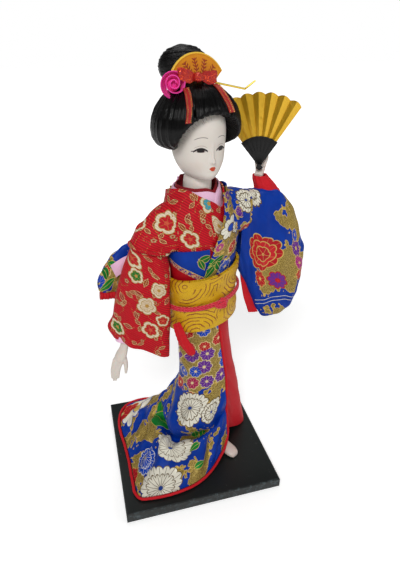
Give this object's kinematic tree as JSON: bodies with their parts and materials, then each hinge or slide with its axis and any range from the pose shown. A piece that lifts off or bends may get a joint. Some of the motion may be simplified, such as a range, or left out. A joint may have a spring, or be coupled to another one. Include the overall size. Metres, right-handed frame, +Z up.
{
  "type": "geisha doll",
  "caption": "Dressed doll on a square board, with a pulled-back collar, belt with back bow, train, raised fan, comb and hairpin. The head turns, the fan swivels, the hairpin pulls out.",
  "frame": {"origin": "centre of the base board's underside", "axes": "+Z up, the base board's front edge faces -Y, +X is to the right seen from the front; the doll faces 15 degrees to the right of -Y"},
  "size_m": [0.1545, 0.12, 0.31],
  "materials": {
    "board_black": "satin black lacquer, scuffed grey edges",
    "leg_wire": "plain drawn wire",
    "white_plastic": "matte white with a pink tint",
    "stuffing": "cotton stuffing and wrapped wire",
    "ivory_plastic": "satin ivory plastic with painted features",
    "red_cloth": "red crepe with a diagonal rib, printed blossoms on the bodice and sleeve",
    "dark_red_cloth": "plain dark red satin",
    "blue_brocade": "blue satin brocade with gold ground and white chrysanthemums",
    "pink_cloth": "plain pink satin",
    "gold_brocade": "gold brocade with brown swirl lines",
    "red_cord": "braided satin cord",
    "black_hair": "combed glossy fibre",
    "comb_gold": "orange gold with red glitter blossoms",
    "glitter_ribbon": "red glitter ribbon with gold dotted edges",
    "pink_ribbon": "magenta satin ribbon",
    "gold_metal": "bright yellow gold",
    "fan_black": "gloss black",
    "fan_gold_foil": "mirror-like gold foil on stiff card"
  },
  "bodies": {
    "figure": {"base_board": "board_black", "leg_wire_left": "leg_wire", "leg_wire_right": "leg_wire", "foot_left": "white_plastic", "foot_right": "white_plastic", "body_core": "stuffing", "arm_right": "stuffing", "arm_left": "stuffing", "under_skirt": "red_cloth", "kimono_skirt": "blue_brocade", "hem_piping": "red_cloth", "red_bodice": "red_cloth", "sleeve_right": "red_cloth", "cuff_right": "pink_cloth", "chest_fold": "blue_brocade", "bodice_left": "blue_brocade", "sleeve_left": "blue_brocade", "cuff_left": "red_cloth", "sleeve_lining_left": "red_cloth", "sleeve_empty": "blue_brocade", "sleeve_empty_hem": "red_cloth", "sleeve_empty_lining": "pink_cloth", "collar_pink": "pink_cloth", "collar_inner": "dark_red_cloth", "obi": "gold_brocade", "obi_cord": "red_cord", "cord_knot": "red_cord", "bow_wing_right": "gold_brocade", "bow_wing_left": "gold_brocade", "bow_band": "gold_brocade", "hip_sash": "red_cloth", "hand_right": "ivory_plastic", "hand_left": "ivory_plastic", "fan_rivet": "gold_metal"},
    "head": {"head": "ivory_plastic", "hair_front_roll": "black_hair", "hair_side_right": "black_hair", "hair_side_left": "black_hair", "hair_nape_roll": "black_hair", "hair_bun": "black_hair", "comb": "comb_gold", "ribbon_bow": "glitter_ribbon", "ribbon_tail_right": "glitter_ribbon", "ribbon_tail_left": "glitter_ribbon", "rose": "pink_ribbon"},
    "hairpin": {"hairpin": "gold_metal"},
    "fan": {"fan_frame": "fan_black", "fan_leaf": "fan_gold_foil"}
  },
  "joints": [
    {"name": "neck_turn", "type": "hinge", "parent": "figure", "child": "head", "pos_m": [0.01252, 0.00837, 0.2148], "axis": [0, 0, 1], "range_deg": [-20, 20]},
    {"name": "fan_swivel", "type": "hinge", "parent": "figure", "child": "fan", "pos_m": [0.05969, 0.01625, 0.2354], "axis": [-0.5, -0.866, 0], "range_deg": [-15, 15]},
    {"name": "hairpin_slide", "type": "slide", "parent": "head", "child": "hairpin", "axis": [0.9464, 0.2536, -0.2], "range_m": [0, 0.022]}
  ]
}
